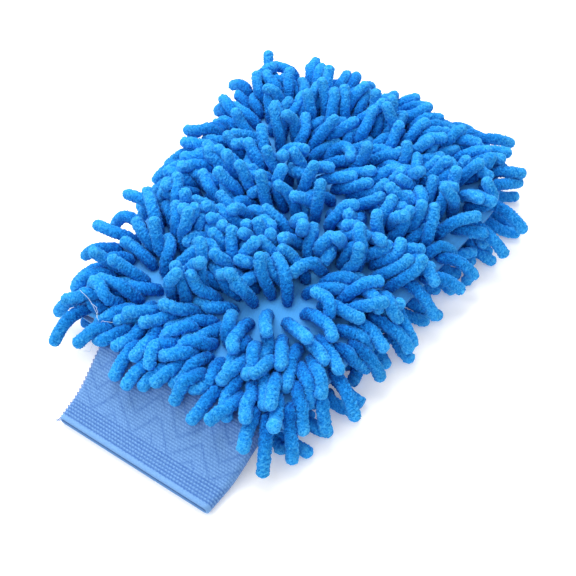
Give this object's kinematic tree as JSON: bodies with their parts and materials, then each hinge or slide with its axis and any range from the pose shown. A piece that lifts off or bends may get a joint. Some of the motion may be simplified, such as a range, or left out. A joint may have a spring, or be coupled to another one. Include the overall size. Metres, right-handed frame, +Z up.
{
  "type": "wash mitt",
  "caption": "Bright blue chenille wash mitt: a soft two-sided noodle pile over a lined pocket for the hand, with an elastic ribbed knit cuff.",
  "frame": {"origin": "on the surface the mitt lies on, under the middle of its length from the cuff's mouth to the fingertips, on the cuff's centre line", "axes": "+Y towards the fingertips, +X across the palm, +Z up from the surface"},
  "size_m": [0.2229, 0.3164, 0.0496],
  "materials": {
    "backing": "matt knitted backing cloth, lighter than the pile",
    "lining": "smooth knitted lining",
    "cuff_knit": "ribbed elastic knit",
    "thread": "polyester sewing thread",
    "noodles": "looped microfibre chenille with a soft sheen"
  },
  "bodies": {
    "mitt": {"top_panel": "backing", "bottom_panel": "backing", "lining_top": "lining", "lining_bottom": "lining", "edge_seam": "thread", "cuff_join_seam": "thread", "upper_pile_row_01": "noodles", "upper_pile_row_02": "noodles", "upper_pile_row_03": "noodles", "upper_pile_row_04": "noodles", "upper_pile_row_05": "noodles", "upper_pile_row_06": "noodles", "upper_pile_row_07": "noodles", "upper_pile_row_08": "noodles", "upper_pile_row_09": "noodles", "upper_pile_row_10": "noodles", "upper_pile_row_11": "noodles", "upper_pile_row_12": "noodles", "upper_pile_row_13": "noodles", "upper_pile_row_14": "noodles", "upper_pile_row_15": "noodles", "upper_pile_row_16": "noodles", "upper_pile_row_17": "noodles", "upper_pile_row_18": "noodles", "upper_pile_row_19": "noodles", "upper_pile_row_20": "noodles", "upper_pile_row_21": "noodles", "upper_pile_row_22": "noodles", "upper_pile_row_23": "noodles", "upper_pile_row_24": "noodles", "lower_pile_row_01": "noodles", "lower_pile_row_02": "noodles", "lower_pile_row_03": "noodles", "lower_pile_row_04": "noodles", "lower_pile_row_05": "noodles", "lower_pile_row_06": "noodles", "lower_pile_row_07": "noodles", "lower_pile_row_08": "noodles", "lower_pile_row_09": "noodles", "lower_pile_row_10": "noodles", "lower_pile_row_11": "noodles", "lower_pile_row_12": "noodles", "lower_pile_row_13": "noodles", "lower_pile_row_14": "noodles", "lower_pile_row_15": "noodles", "lower_pile_row_16": "noodles", "lower_pile_row_17": "noodles", "lower_pile_row_18": "noodles", "lower_pile_row_19": "noodles", "lower_pile_row_20": "noodles", "lower_pile_row_21": "noodles", "lower_pile_row_22": "noodles", "lower_pile_row_23": "noodles", "lower_pile_row_24": "noodles"},
    "cuff": {"cuff_knit": "cuff_knit", "cuff_closing_thread": "thread"}
  },
  "joints": [
    {"name": "cuff_flex", "type": "hinge", "parent": "mitt", "child": "cuff", "pos_m": [0, -0.10603, 0.02405], "axis": [-1, 0, 0], "range_deg": [0, 60], "deforming": ["upper_pile_row_01", "upper_pile_row_02"]}
  ]
}
